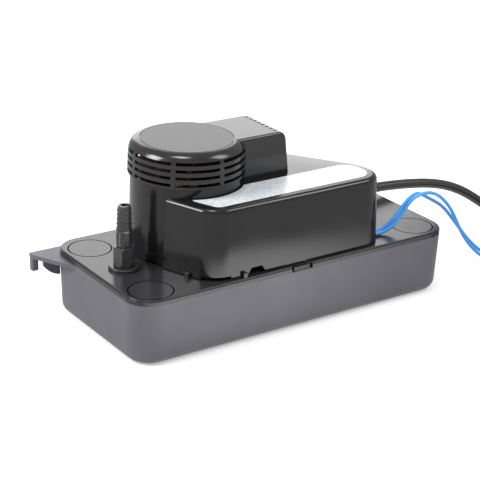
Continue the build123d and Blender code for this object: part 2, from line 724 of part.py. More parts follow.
collar_r, collar_gap = 4.0, 2.15
fork_z = pivot_z - float_travel / 2
float_rod = turned(float_x, float_y, (0, float_foot - 1), (4.5, float_foot - 1), (4.5, float_foot), (2.0, float_foot),
                   (2.0, fork_z - collar_gap - 2), (collar_r, fork_z - collar_gap - 2),
                   (collar_r, fork_z - collar_gap), (2.0, fork_z - collar_gap), (2.0, fork_z + collar_gap),
                   (collar_r, fork_z + collar_gap), (collar_r, fork_z + collar_gap + 2),
                   (2.0, fork_z + collar_gap + 2), (2.0, fork_z + 10), (0, fork_z + 10))
save(float_rod, "float_rod")

tilt = radians(lever_tilt)
lever_side = Plane(origin=(pivot_x, float_y, pivot_z), x_dir=(cos(tilt), 0, sin(tilt)), z_dir=(0, -1, 0))
lever_half = 9.8
with BuildPart() as switch_lever:
    with BuildSketch(lever_side):
        with Locations((-16, 0)):
            Rectangle(32, 1.6)
    extrude(amount=5.0, both=True)
    with BuildSketch(lever_side):
        with Locations((3.75, 0)):
            Rectangle(7.5, 1.6)
    extrude(amount=lever_half, both=True)
    with BuildSketch(lever_side):
        Circle(2.8)
    extrude(amount=lever_half, both=True)
    with BuildSketch(lever_side):
        Circle(1.56)
    extrude(amount=20, both=True, mode=Mode.SUBTRACT)
    with BuildSketch(lever_side):
        with Locations((-30, 0)):
            Rectangle(9, 6)
    extrude(amount=2.35, both=True, mode=Mode.SUBTRACT)
save(switch_lever, "switch_lever")

switch_foot, switch_top = 57.0, 72.9
plunger_x, plunger_top = pivot_x + 4.5, 74.5
ear_gap = 10.7              # from the lever's middle to each bracket ear
switch_left, switch_right = pivot_x - 3.0, pivot_x + 24.8
with BuildPart() as switch_bracket:
    with BuildSketch(level(deck_z)):
        with Locations((pivot_x + 11, float_y)):
            Rectangle(34, 2 * ear_gap + 4)
    extrude(amount=switch_foot - deck_z)
    with BuildSketch(level(deck_z)):
        with Locations((pivot_x + 11, float_y)):
            Rectangle(28, 2 * ear_gap - 4)
    extrude(amount=switch_foot - deck_z - 2.0, mode=Mode.SUBTRACT)
    for side in (-1, 1):
        with BuildSketch(Plane.XZ.offset(-float_y - side * (ear_gap + 1.0))):
            with BuildLine():
                Polyline((pivot_x - 5, switch_foot), (pivot_x + 26, switch_foot), (pivot_x + 26, 66),
                         (pivot_x + 5, pivot_z + 4.5), (pivot_x - 5, pivot_z + 4.5), close=True)
            make_face()
        extrude(amount=1.0, both=True)
    with BuildSketch(Plane.XZ.offset(-float_y)):
        with Locations((pivot_x, pivot_z)):
            Circle(1.5)
        with Locations((pivot_x + 2, 62), (pivot_x + 20, 62)):
            Circle(1.55)
    extrude(amount=20, both=True, mode=Mode.SUBTRACT)
save(switch_bracket, "switch_bracket")

with BuildPart() as lever_pin:
    with BuildSketch(Plane.XZ.offset(-float_y)):
        with Locations((pivot_x, pivot_z)):
            Circle(1.5)
    extrude(amount=ear_gap + 2.0, both=True)
    with BuildSketch(Plane.XZ.offset(-float_y + ear_gap + 2.0)):
        with Locations((pivot_x, pivot_z)):
            Circle(2.6)
    extrude(amount=1.0)
save(lever_pin, "lever_pin")

with BuildPart() as switch_screws:
    with BuildSketch(Plane.XZ.offset(-float_y)):
        with Locations((pivot_x + 2, 62), (pivot_x + 20, 62)):
            Circle(1.5)
    extrude(amount=ear_gap + 2.0, both=True)
    with BuildSketch(Plane.XZ.offset(-float_y + ear_gap + 2.0)):
        with Locations((pivot_x + 2, 62), (pivot_x + 20, 62)):
            Circle(2.8)
    extrude(amount=1.8)
save(switch_screws, "switch_screws")

switches = {"pump_switch": -1, "overflow_switch": 1}
for name, side in switches.items():
    middle = float_y + side * (switch_thick / 2 + 0.1)
    with BuildPart() as switch:
        with BuildSketch(Plane.XZ.offset(-middle)):
            with Locations(((switch_left + switch_right) / 2, (switch_foot + switch_top) / 2)):
                RectangleRounded(switch_right - switch_left, switch_top - switch_foot, 1.0)
            with Locations((plunger_x, switch_top)):
                Rectangle(3.4, 8.0, mode=Mode.SUBTRACT)
            with Locations((pivot_x + 2, 62), (pivot_x + 20, 62)):
                Circle(1.55, mode=Mode.SUBTRACT)
        extrude(amount=switch_thick / 2, both=True)
    save(switch, name)
    with BuildPart() as plunger:
        with BuildSketch(level(switch_top - 2.2)):
            with Locations((plunger_x, middle)):
                Rectangle(2.2, 4.0)
        extrude(amount=plunger_top - switch_top + 2.2)
        fillet(plunger.edges().filter_by(Axis.Y).group_by(Axis.Z)[-1], 0.9)
    save(plunger, name.replace("switch", "plunger"))

# ---- strain relief and lead grommet ----
relief_long = 22.0
flange_gap = 0.02


def on_gland(reach):
    """Plane across the strain relief, this far out from the cover's wall."""
    return Plane(origin=gland + wall_out * reach, z_dir=wall_out)


with BuildPart() as strain_relief:
    with BuildSketch(on_gland(-cover_wall - flange_gap - 1.6)):
        Circle(8.0)
    extrude(amount=1.6)
    with BuildSketch(on_gland(-cover_wall - flange_gap - 1.6)):
        Circle(6.0)
    extrude(amount=cover_wall + 2.0)
    with BuildSketch(on_gland(flange_gap)):
        Circle(7.6)
    extrude(amount=2.0)
    with BuildSketch(on_gland(2.0)):
        Circle(6.0)
    with BuildSketch(on_gland(relief_long)):
        Circle(cord_d / 2 + 0.7)
    loft()
save(strain_relief, "strain_relief")

with BuildPart() as lead_grommet:
    with BuildSketch(Plane.YZ.offset(70.4)):
        with Locations((lead_gate_y, deck_z + 2.5)):
            RectangleRounded(7.8, 5.0, 1.5)
    extrude(amount=6.2)
save(lead_grommet, "lead_grommet")


# ---- cords ----
def cord_radii(points):
    """Arc radius at each inner point: as large as the two runs allow."""
    radii = []
    for before, here, after in zip(points, points[1:], points[2:]):
        run_in, run_out = Vector(*here) - Vector(*before), Vector(*after) - Vector(*here)
        half_turn = radians(run_in.get_angle(run_out)) / 2
        radii.append(0.45 * min(run_in.length, run_out.length) / tan(half_turn))
    return radii


def cord(name, diameter, points):
    radii = cord_radii(points)
    with BuildPart() as tube:
        with BuildLine() as path:
            FilletPolyline(*points, radius=radii)
        with BuildSketch(Plane(origin=path.line @ 0, z_dir=path.line % 0)):
            Circle(diameter / 2)
        sweep(path=path.line)
    length = sum(edge.length for edge in path.line.edges())
    ideal = pi * diameter ** 2 / 4 * length
    print(f"{name}: length {length:.1f}, volume {tube.part.volume / ideal:.4f} of section x length, "
          f"radii {[round(r / diameter, 1) for r in radii]} diameters")
    save(tube, name)


relief_tip = gland + wall_out * relief_long
cord_first = relief_tip + wall_out * 18
cord_route = [tuple(relief_tip), tuple(cord_first), (113.5, 18.2, 60.4), (132, 20.4, 58.6), (152, 21.2, 56.9),
              (173, 21.6, 54.4), (194, 21.4, 51.0), (213, 20.4, 45.8), (229.5, 17.8, 38.4), (244.5, 13.2, 28.2),
              (258, 6.6, 17.6), (271.5, -1.0, 9.0), (287, -9.0, 4.3), (305, -17.5, 4.0)]
cord("power_cord", cord_d, cord_route)

with BuildPart() as power_cord_coil:
    with BuildSketch(radial_plane(coil_x, coil_y)):
        with Locations((coil_mean_r, cord_d)):
            RectangleRounded(3 * cord_d, 2 * cord_d, cord_d / 2 - 0.1)
    revolve(axis=Axis((coil_x, coil_y, 0), (0, 0, 1)))
save(power_cord_coil, "power_cord_coil")

tail_z = 1.5 * cord_d
plug_neck_x, plug_y, plug_z = 248.0, -114.5, 11.6
tail_start = (coil_x, coil_y - coil_mean_r - cord_d, tail_z)
tail_route = [tail_start, (266, plug_y, plug_z), (plug_neck_x, plug_y, plug_z)]
cord("power_cord_tail", cord_d, tail_route)

with BuildPart() as plug_body:
    with BuildSketch(Plane(origin=(plug_neck_x, plug_y, plug_z), z_dir=(-1, 0, 0))):
        Circle(cord_d / 2 + 0.8)
    with BuildSketch(Plane(origin=(plug_neck_x - 16, plug_y, plug_z), z_dir=(-1, 0, 0))):
        Circle(7.5)
    loft()
    with BuildSketch(Plane(origin=(plug_neck_x - 16, plug_y, plug_z), z_dir=(-1, 0, 0))):
        RectangleRounded(22.0, 25.0, 5)
    extrude(amount=24)
    fillet(plug_body.faces().sort_by(Axis.X)[0].edges(), 1.0)
save(plug_body, "plug_body")

plug_face_x = plug_neck_x - 40
with BuildPart() as plug_blades:
    with BuildSketch(Plane(origin=(plug_face_x, plug_y, plug_z), z_dir=(-1, 0, 0), x_dir=(0, 1, 0))):
        with Locations((-6.35, -3), (6.35, -3)):
            Rectangle(1.5, 6.3)
        with Locations((0, 6.5)):
            Circle(2.4)
    extrude(amount=17)
save(plug_blades, "plug_blades")

lead_routes = {
    "safety_lead_a": [(76.6, -43.6, 52.3), (84.2, -43.7, 52.5), (90.8, -45.0, 55.6), (94.5, -46.0, 59.7),
                      (98.7, -46.4, 64.4), (102.3, -46.4, 69.0), (106.2, -46.0, 73.1), (112.5, -44.8, 76.7),
                      (119.5, -43.0, 77.2), (126.0, -41.0, 74.9), (132.6, -39.5, 71.2), (141.1, -38.4, 66.2),
                      (151.6, -37.4, 59.8), (159.8, -35.6, 53.2), (168.0, -33.0, 45.6), (176.5, -31.8, 36.6),
                      (184.8, -31.4, 27.2), (193.0, -32.2, 18.0), (201.5, -34.8, 9.8), (210.8, -39.8, 3.6),
                      (219.0, -48.0, 1.4), (222.5, -58.5, 1.4), (220.0, -69.5, 1.4), (211.5, -77.0, 1.4),
                      (200.0, -79.5, 1.4)],
    "safety_lead_b": [(76.6, -46.6, 52.3), (83.0, -46.8, 52.3), (89.2, -47.3, 53.6), (94.6, -47.9, 56.2),
                      (99.6, -48.4, 60.9), (103.3, -48.6, 65.5), (106.9, -48.7, 70.2), (112.0, -48.4, 74.7),
                      (118.4, -47.2, 76.3), (126.0, -46.0, 76.6), (134.8, -44.4, 75.0), (144.6, -42.0, 70.4),
                      (153.8, -39.6, 63.6), (161.5, -38.2, 56.2), (168.0, -37.4, 47.6), (174.0, -36.8, 37.8),
                      (180.4, -36.4, 28.0), (187.6, -36.8, 18.6), (195.2, -38.8, 10.2), (203.2, -43.2, 4.0),
                      (209.8, -50.4, 1.4), (213.2, -59.5, 1.4), (211.2, -68.4, 1.4), (204.6, -74.2, 1.4),
                      (195.8, -75.2, 1.4)],
}
for name, points in lead_routes.items():
    cord(name, lead_d, points)

with BuildPart() as lead_tips:
    for points in lead_routes.values():
        end = Vector(*points[-1])
        away = (end - Vector(*points[-2])).normalized()
        with BuildSketch(Plane(origin=end, z_dir=away)):
            Circle(0.7)
        extrude(amount=8)
save(lead_tips, "lead_tips")
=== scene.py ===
import math

import bmesh
import bpy
from mathutils import Matrix, Vector


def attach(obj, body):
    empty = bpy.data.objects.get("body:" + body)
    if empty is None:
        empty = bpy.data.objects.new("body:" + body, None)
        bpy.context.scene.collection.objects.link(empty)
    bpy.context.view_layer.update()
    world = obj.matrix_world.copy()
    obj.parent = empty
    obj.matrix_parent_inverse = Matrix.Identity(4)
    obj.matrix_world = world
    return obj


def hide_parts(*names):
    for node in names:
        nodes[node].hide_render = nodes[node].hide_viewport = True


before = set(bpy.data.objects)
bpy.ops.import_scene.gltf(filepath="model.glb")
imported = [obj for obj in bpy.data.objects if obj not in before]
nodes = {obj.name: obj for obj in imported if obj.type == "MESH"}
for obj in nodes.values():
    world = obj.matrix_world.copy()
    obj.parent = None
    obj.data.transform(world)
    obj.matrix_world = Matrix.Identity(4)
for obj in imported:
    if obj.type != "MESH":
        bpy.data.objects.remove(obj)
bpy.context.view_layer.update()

MM = 0.001

# ---------------------------------------------------------------- driving sizes, in mm
MOTOR_X, MOTOR_Y = -57.5, 8.5            # the motor's upright axis
COVER_FOOT, COVER_TOP, DRUM_TOP, CAP_TOP = 51.6, 103.5, 111.4, 136.0
DECK_TOP = 50.8
INLETS = ((-119.8, 40.5), (-120.1, -46.1), (117.5, -44.5))
# radii in mm of the ring of painted shade round each inlet plug, near black inside the inner one
INLET_SHADE_OUTER, INLET_SHADE_INNER = 16.6, 16.35
MEDALLION_OUTER, MEDALLION_INNER = 33.9, 33.6
CATCH_FOOT, CATCH_CLEAR = 46.7, 46.9     # heights between which the tank's catches turn black
TINT_END, TINT_START = 10.0, 4.0         # the label's tint fades out between these along X
CORD_D, LEAD_D = 8.0, 2.8
GLAND = (64.65, -9.38, 60.0)             # where the strain relief passes the cover's slanting wall
RELIEF_AIM = (0.8259, 0.5625, 0.0384)    # the direction in which it leaves
RELIEF_TIP = (82.8, 3.0, 60.8)           # where the mains cord leaves its strain relief
PLUG_NECK = (248, -114.5, 11.6)
VALVE_X, VALVE_Y = -116.5, -3.5

# ---------------------------------------------------------------- camera
LENS_MM = 111.2
SENSOR_MM = 36.0
CAMERA_YAW = math.radians(-35.2)
CAMERA_PITCH = math.radians(22.4)
CAMERA_ROLL = math.radians(2.0)
CAMERA_DISTANCE = 1.0889
CAMERA_TARGET = Vector((-0.0279, -0.0201, 0.060))


def make_camera():
    """Looks at the target from the yaw, pitch, roll and distance above."""
    data = bpy.data.cameras.new("camera")
    data.lens = LENS_MM
    data.sensor_width = SENSOR_MM
    data.clip_start = 0.05
    data.clip_end = 30.0
    camera = bpy.data.objects.new("camera", data)
    bpy.context.scene.collection.objects.link(camera)
    back = Vector((math.sin(CAMERA_YAW) * math.cos(CAMERA_PITCH),
                   -math.cos(CAMERA_YAW) * math.cos(CAMERA_PITCH),
                   math.sin(CAMERA_PITCH)))
    right = Vector((math.cos(CAMERA_YAW), math.sin(CAMERA_YAW), 0.0))
    up = back.cross(right)
    across = right * math.cos(CAMERA_ROLL) + up * math.sin(CAMERA_ROLL)
    along = -right * math.sin(CAMERA_ROLL) + up * math.cos(CAMERA_ROLL)
    turn = Matrix((across, along, back)).transposed().to_4x4()
    camera.matrix_world = Matrix.Translation(CAMERA_TARGET + back * CAMERA_DISTANCE) @ turn
    bpy.context.scene.camera = camera


make_camera()


# ---------------------------------------------------------------- nodes and materials
def linear(code, alpha=1.0):
    """An sRGB hex value such as "4A4A4F" as linear colour."""
    channels = [int(code[i:i + 2], 16) / 255 for i in (0, 2, 4)]
    return [c / 12.92 if c <= 0.04045 else ((c + 0.055) / 1.055) ** 2.4 for c in channels] + [alpha]


def add_node(tree, kind, sockets=None, links=None, **settings):
    """Adds one node, sets its sockets and properties, and links its inputs."""
    made = tree.nodes.new(kind)
    for name, value in settings.items():
        setattr(made, name, value)
    for name, value in (sockets or {}).items():
        made.inputs[name].default_value = value
    for name, source in (links or {}).items():
        tree.links.new(source, made.inputs[name])
    return made


def new_material(name):
    """An empty material with its surface shader: (material, tree, shader, object coordinates)."""
    material = bpy.data.materials.new(name)
    material.use_nodes = True
    tree = material.node_tree
    shader = tree.nodes["Principled BSDF"]
    place = add_node(tree, "ShaderNodeTexCoord").outputs["Object"]
    return material, tree, shader, place


def wear(tree, place, scale, detail=4.0, low=0.35, high=0.65):
    """A soft uneven mask from 0 to 1, its blobs about 1/scale metres across."""
    noise = add_node(tree, "ShaderNodeTexNoise", {"Scale": scale, "Detail": detail, "Roughness": 0.6},
                     {"Vector": place})
    spread = add_node(tree, "ShaderNodeMapRange", {"From Min": low, "From Max": high},
                      {"Value": noise.outputs["Fac"]})
    return spread.outputs["Result"]


def mixed_colour(tree, mask, first, second):
    """The first colour where the mask is 0, the second where it is 1."""
    blend = add_node(tree, "ShaderNodeMix", data_type="RGBA")
    blend.inputs[6].default_value = first
    blend.inputs[7].default_value = second
    tree.links.new(mask, blend.inputs[0])
    return blend.outputs[2]


def ranged(tree, mask, low, high):
    """Spreads a mask from 0 to 1 between two other values."""
    return add_node(tree, "ShaderNodeMapRange", {"To Min": low, "To Max": high},
                    {"Value": mask}).outputs["Result"]


def blended_over(tree, mask, colour):
    """Lays a plain colour over the material's own colour where the mask is 1."""
    base = tree.nodes["Principled BSDF"].inputs["Base Color"]
    blend = add_node(tree, "ShaderNodeMix", {7: linear(colour)}, {0: mask, 6: base.links[0].from_socket},
                     data_type="RGBA")
    tree.links.new(blend.outputs[2], base)


def edge_mask(tree, value, off, on):
    """0 where a value in metres is past off, 1 where it is past on; both are given in mm."""
    return add_node(tree, "ShaderNodeMapRange", {"From Min": off * MM, "From Max": on * MM},
                    {"Value": value}).outputs["Result"]


def moulded_plastic(name, colour, second, roughness, spread, grain_mm, grain_depth, blob_mm=60.0, ior=1.5):
    """Injection-moulded plastic: even colour, slow drift of gloss, a fine moulded grain."""
    material, tree, shader, place = new_material(name)
    drift = wear(tree, place, 1 / (blob_mm * MM))
    tree.links.new(mixed_colour(tree, drift, linear(colour), linear(second)), shader.inputs["Base Color"])
    tree.links.new(ranged(tree, drift, roughness - spread, roughness + spread), shader.inputs["Roughness"])
    grain = add_node(tree, "ShaderNodeTexNoise", {"Scale": 1 / (grain_mm * MM), "Detail": 2.0},
                     {"Vector": place})
    bump = add_node(tree, "ShaderNodeBump", {"Strength": grain_depth, "Distance": 0.1 * MM},
                    {"Height": grain.outputs["Fac"]})
    tree.links.new(bump.outputs["Normal"], shader.inputs["Normal"])
    shader.inputs["IOR"].default_value = ior
    return material


def plain_metal(name, colour, second, roughness, grain_mm=0.4):
    """Machined or plated metal with a fine uneven polish."""
    material, tree, shader, place = new_material(name)
    drift = wear(tree, place, 1 / (grain_mm * MM))
    tree.links.new(mixed_colour(tree, drift, linear(colour), linear(second)), shader.inputs["Base Color"])
    tree.links.new(ranged(tree, drift, roughness * 0.8, roughness * 1.2), shader.inputs["Roughness"])
    shader.inputs["Metallic"].default_value = 1.0
    return material


def tank_plastic():
    """Charcoal ABS, satin; the catches that stand above the rim are as black as the deck."""
    material = moulded_plastic("tank_abs_charcoal_satin", "63626A", "5D5C64", 0.42, 0.04, 0.5, 0.05)
    tree = material.node_tree
    place = add_node(tree, "ShaderNodeTexCoord").outputs["Object"]
    apart = add_node(tree, "ShaderNodeSeparateXYZ", links={"Vector": place})
    blended_over(tree, edge_mask(tree, apart.outputs["Z"], CATCH_FOOT, CATCH_CLEAR), "232325")
    return material


def deck_plastic():
    """Black semi-gloss ABS, with painted shade: near black and without specular in the narrow gap round each
    inlet plug and on the gap's rim.
    """
    material = moulded_plastic("deck_abs_black_semigloss", "2B2B2D", "303032", 0.22, 0.04, 0.6, 0.012)
    tree = material.node_tree
    place = add_node(tree, "ShaderNodeTexCoord").outputs["Object"]
    nearest = None
    for x, y in INLETS:
        centre = add_node(tree, "ShaderNodeCombineXYZ", {"X": x * MM, "Y": y * MM, "Z": DECK_TOP * MM})
        away = add_node(tree, "ShaderNodeVectorMath", links={0: place, 1: centre.outputs[0]},
                        operation="DISTANCE")
        if nearest is None:
            nearest = away.outputs["Value"]
        else:
            nearest = add_node(tree, "ShaderNodeMath", links={0: nearest, 1: away.outputs["Value"]},
                               operation="MINIMUM").outputs[0]
    # painted shade: the gap round each plug is coloured near black and its specular is taken away
    painted_gap_shade = edge_mask(tree, nearest, INLET_SHADE_OUTER, INLET_SHADE_INNER)
    blended_over(tree, painted_gap_shade, "0A0A0B")
    specular = tree.nodes["Principled BSDF"].inputs["Specular IOR Level"]
    tree.links.new(ranged(tree, painted_gap_shade, 0.5, 0.0), specular)
    return material


def medallion_plastic():
    """The cap's glossy ABS, spark-textured and duller on the flat medallion that its groove rings."""
    material = moulded_plastic("cap_abs_black_gloss", "1C1C1E", "222224", 0.18, 0.04, 1.5, 0.02, ior=1.6)
    tree = material.node_tree
    shader = tree.nodes["Principled BSDF"]
    place = add_node(tree, "ShaderNodeTexCoord").outputs["Object"]
    middle = (-MOTOR_X * MM, -MOTOR_Y * MM, -CAP_TOP * MM)
    centred = add_node(tree, "ShaderNodeMapping", {"Location": middle}, {"Vector": place})
    away = add_node(tree, "ShaderNodeVectorMath", links={0: centred.outputs[0]}, operation="LENGTH")
    inside = edge_mask(tree, away.outputs["Value"], MEDALLION_OUTER, MEDALLION_INNER)
    gloss = shader.inputs["Roughness"].links[0].from_socket
    dull = add_node(tree, "ShaderNodeMapRange", {"To Max": 0.36}, {"Value": inside, "To Min": gloss})
    tree.links.new(dull.outputs["Result"], shader.inputs["Roughness"])
    spark = add_node(tree, "ShaderNodeTexNoise", {"Scale": 1 / (0.9 * MM), "Detail": 3.0}, {"Vector": place})
    depth = add_node(tree, "ShaderNodeMath", {1: 0.5}, {0: inside}, operation="MULTIPLY")
    bump = add_node(tree, "ShaderNodeBump", {"Distance": 0.15 * MM},
                    {"Height": spark.outputs["Fac"], "Strength": depth.outputs[0],
                     "Normal": shader.inputs["Normal"].links[0].from_socket})
    tree.links.new(bump.outputs["Normal"], shader.inputs["Normal"])
    return material


def printed_film():
    """Gloss white polyester film, its left part under a faint bare tint."""
    material, tree, shader, place = new_material("label_film_white")
    apart = add_node(tree, "ShaderNodeSeparateXYZ", links={"Vector": place})
    tint = edge_mask(tree, apart.outputs["X"], TINT_END, TINT_START)
    speck = wear(tree, place, 1 / (2.4 * MM), 3.0, 0.42, 0.62)
    panel = mixed_colour(tree, speck, linear("CFDADF"), linear("EEF2F4"))
    blend = add_node(tree, "ShaderNodeMix", {6: linear("EDEFF0")}, {0: tint, 7: panel}, data_type="RGBA")
    tree.links.new(blend.outputs[2], shader.inputs["Base Color"])
    shader.inputs["Roughness"].default_value = 0.3
    return material


tank_abs = tank_plastic()
deck_abs = deck_plastic()
plug_abs = moulded_plastic("plug_abs_black_semigloss", "303032", "353537", 0.24, 0.04, 0.6, 0.015)
cover_abs = moulded_plastic("cover_abs_black_gloss", "18181A", "1E1E20", 0.14, 0.04, 1.5, 0.02)
cap_abs = medallion_plastic()
plate_film = printed_film()
barb_nylon = moulded_plastic("barb_nylon_black", "38383A", "404042", 0.14, 0.03, 0.3, 0.01, 10.0, 1.6)
seal_rubber = moulded_plastic("seal_nitrile_black", "1A1A1A", "222222", 0.5, 0.08, 0.3, 0.1, 6.0)
inner_abs = moulded_plastic("pump_abs_black", "202021", "262628", 0.45, 0.05, 0.5, 0.06)
nylon_natural = moulded_plastic("nylon_natural", "D6D0C0", "CCC5B2", 0.45, 0.05, 0.5, 0.06)
acetal_white = moulded_plastic("acetal_white", "DCDCD8", "D2D2CE", 0.35, 0.05, 0.5, 0.04)
float_foam = moulded_plastic("float_foam_pale", "CFCBC0", "C4BFB2", 0.8, 0.05, 1.2, 0.5, 12.0)
fan_red = moulded_plastic("fan_nylon_brick", "7A211A", "6C1B15", 0.4, 0.06, 0.5, 0.05)
switch_black = moulded_plastic("switch_phenolic_black", "1B1B1C", "232324", 0.4, 0.06, 0.5, 0.08)
plunger_red = moulded_plastic("plunger_acetal_red", "A3261D", "962019", 0.35, 0.05, 0.4, 0.04)
coil_copper = moulded_plastic("winding_enamel_copper", "8A4A26", "7A3F1F", 0.35, 0.08, 0.6, 0.4, 5.0)
cord_pvc = moulded_plastic("cord_pvc_black_gloss", "131314", "19191A", 0.24, 0.03, 0.8, 0.03, 20.0, 1.8)
lead_pvc = moulded_plastic("lead_pvc_blue", "52AEFF", "48A4FA", 0.28, 0.04, 0.5, 0.03, 12.0)
steel_laminated = plain_metal("core_steel_laminated", "7D7D80", "6A6A6D", 0.45)
steel_plated = plain_metal("steel_zinc_plated", "B9B9B6", "A8A8A4", 0.3)
steel_ground = plain_metal("steel_ground", "BDBDBF", "B0B0B2", 0.22)
aluminium_cast = plain_metal("aluminium_die_cast", "A9ABAD", "9A9C9E", 0.45)
bronze_sintered = plain_metal("bronze_sintered", "9C7444", "8C663A", 0.5)
brass_bare = plain_metal("brass_bare", "C9A65A", "BD9A50", 0.28)
copper_tinned = plain_metal("copper_stranded", "C77B4E", "B96E43", 0.3)

# which finish each part wears
FINISHES = (
    (tank_abs, ("tank",)),
    (deck_abs, ("deck",)),
    (cover_abs, ("motor_cover",)),
    (cap_abs, ("vent_cap",)),
    (plate_film, ("info_plate",)),
    (plug_abs, ("inlet_plug_rear", "inlet_plug_front", "inlet_plug_right")),
    (barb_nylon, ("check_valve", "hose_barb")),
    (seal_rubber, ("valve_seal", "valve_ball", "lead_grommet")),
    (steel_plated, ("valve_spring", "motor_bolts", "core_spacers", "column_screws", "volute_screws",
                    "lever_pin", "switch_screws")),
    (cord_pvc, ("strain_relief", "plug_body", "power_cord", "power_cord_coil", "power_cord_tail")),
    (brass_bare, ("plug_blades",)),
    (copper_tinned, ("lead_tips",)),
    (steel_laminated, ("stator_core",)),
    (nylon_natural, ("coil_bobbin",)),
    (coil_copper, ("motor_coil",)),
    (aluminium_cast, ("rotor", "upper_bracket", "lower_bracket")),
    (steel_ground, ("motor_shaft",)),
    (bronze_sintered, ("upper_bearing", "lower_bearing")),
    (fan_red, ("cooling_fan",)),
    (inner_abs, ("pump_column", "volute", "strainer_base", "impeller", "discharge_pipe")),
    (float_foam, ("tank_float",)),
    (acetal_white, ("float_rod", "switch_lever")),
    (switch_black, ("switch_bracket", "pump_switch", "overflow_switch")),
    (plunger_red, ("pump_plunger", "overflow_plunger")),
    (lead_pvc, ("safety_lead_a", "safety_lead_b")),
)
for finish, names in FINISHES:
    for name in names:
        nodes[name].data.materials.clear()
        nodes[name].data.materials.append(finish)


# ---------------------------------------------------------------- cords
def cord_curve(name, points_mm, diameter_mm, material):
    """A round cord on one smooth open spline whose control points are the route's."""
    curve = bpy.data.curves.new(name, "CURVE")
    curve.dimensions = "3D"
    curve.bevel_depth = diameter_mm * MM / 2
    curve.bevel_resolution = 6
    curve.resolution_u = 8
    curve.use_fill_caps = True
    spline = curve.splines.new("NURBS")
    spline.points.add(len(points_mm) - 1)
    for point, place in zip(spline.points, points_mm):
        point.co = (*[value * MM for value in place], 1.0)
    spline.order_u = 3
    spline.use_endpoint_u = True
    curve.materials.append(material)
    piece = bpy.data.objects.new(name, curve)
    bpy.context.scene.collection.objects.link(piece)
    return piece


COIL_X, COIL_Y, COIL_MEAN_R = 282.8, -61.9, 42.0
COIL_START, COIL_TURNED, COIL_STEP = 63.4, 1953.4, 22.5     # degrees: arrival, whole turn, between points

cord_route = [
    RELIEF_TIP, (97.7, 13.1, 61.5), (113.5, 18.2, 60.4), (132, 20.4, 58.6), (152, 21.2, 56.9),
    (173, 21.6, 54.4), (194, 21.4, 51.0), (213, 20.4, 45.8), (229.5, 17.8, 38.4), (244.5, 13.2, 28.2),
    (258, 6.6, 17.6), (271.5, -1.0, 9.0), (287, -9.0, 4.3), (305, -17.5, 4.0),
]
tail_route = [(266, -114.5, 11.6), PLUG_NECK]


def coil_turns():
    """Three turns inward on the ground, then out again on top of them, as control points."""
    inward = ((300, 360), (660, 720))       # where the lower layer steps in by one diameter
    climb = (925, 1005)
    outward = ((1295, 1355), (1655, 1715))  # where the upper layer steps out again
    # control points stand outside the curve they draw, by this much
    fuller = 1 / (0.75 + 0.25 * math.cos(math.radians(COIL_STEP)))

    def share(turn, span):
        t = min(1.0, max(0.0, (turn - span[0]) / (span[1] - span[0])))
        return t * t * (3 - 2 * t)

    points = []
    turn = COIL_STEP
    while turn < COIL_TURNED - 0.6 * COIL_STEP:
        steps_in = sum(share(turn, span) for span in inward)
        steps_out = sum(share(turn, span) for span in outward)
        radius = (COIL_MEAN_R + CORD_D * (1 - steps_in + steps_out)) * fuller
        height = CORD_D * (0.5 + share(turn, climb))
        angle = math.radians(COIL_START - turn)
        points.append((COIL_X + radius * math.cos(angle), COIL_Y + radius * math.sin(angle), height))
        turn += COIL_STEP
    return points


power_cord = cord_curve("mains_cord", cord_route + coil_turns() + tail_route, CORD_D, cord_pvc)
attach(power_cord, "frame")
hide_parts("power_cord", "power_cord_coil", "power_cord_tail")

lead_routes = {
    "safety_lead_a": [(76.6, -43.6, 52.3), (84.2, -43.7, 52.5), (90.8, -45.0, 55.6), (94.7, -46.0, 59.4),
                      (99.0, -46.4, 63.9), (102.9, -46.4, 68.2), (107.0, -46.0, 72.0), (113.2, -44.8, 75.6),
                      (120.2, -43.0, 76.3), (126.0, -41.0, 74.9), (132.6, -39.5, 71.2), (141.1, -38.4, 66.2),
                      (151.6, -37.4, 59.8), (159.8, -35.6, 53.2), (168.0, -33.0, 45.6), (176.5, -31.8, 36.6),
                      (184.8, -31.4, 27.2), (193.0, -32.2, 18.0), (201.5, -34.8, 9.8), (210.8, -39.8, 3.6),
                      (219.0, -48.0, 1.4), (222.5, -58.5, 1.4), (220.0, -69.5, 1.4), (211.5, -77.0, 1.4),
                      (200.0, -79.5, 1.4)],
    "safety_lead_b": [(76.6, -46.6, 52.3), (83.0, -46.8, 52.3), (89.2, -47.3, 53.6), (94.6, -47.9, 56.2),
                      (99.6, -48.4, 60.9), (103.3, -48.6, 65.5), (106.9, -48.7, 70.2), (112.0, -48.4, 74.7),
                      (118.4, -47.2, 76.3), (126.0, -46.0, 76.6), (134.8, -44.4, 75.0), (144.6, -42.0, 70.4),
                      (153.8, -39.6, 63.6), (161.5, -38.2, 56.2), (168.0, -37.4, 47.6), (174.0, -36.8, 37.8),
                      (180.4, -36.4, 28.0), (187.6, -36.8, 18.6), (195.2, -38.8, 10.2), (203.2, -43.2, 4.0),
                      (209.8, -50.4, 1.4), (213.2, -59.5, 1.4), (211.2, -68.4, 1.4), (204.6, -74.2, 1.4),
                      (195.8, -75.2, 1.4)],
}
for name, points in lead_routes.items():
    lead = cord_curve(name.replace("safety", "alarm"), points, LEAD_D, lead_pvc)
    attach(lead, "frame")
    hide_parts(name)


# ---------------------------------------------------------------- modelling helpers
def only(piece):
    """Makes one piece the active and the only selected object."""
    bpy.ops.object.select_all(action="DESELECT")
    bpy.context.view_layer.objects.active = piece
    piece.select_set(True)


def start_edit(piece=None):
    """Leaves every object deselected, or opens one for editing."""
    if bpy.context.object and bpy.context.object.mode == "EDIT":
        bpy.ops.object.mode_set(mode="OBJECT")
    if piece:
        only(piece)
        bpy.ops.object.mode_set(mode="EDIT")
    else:
        bpy.ops.object.select_all(action="DESELECT")


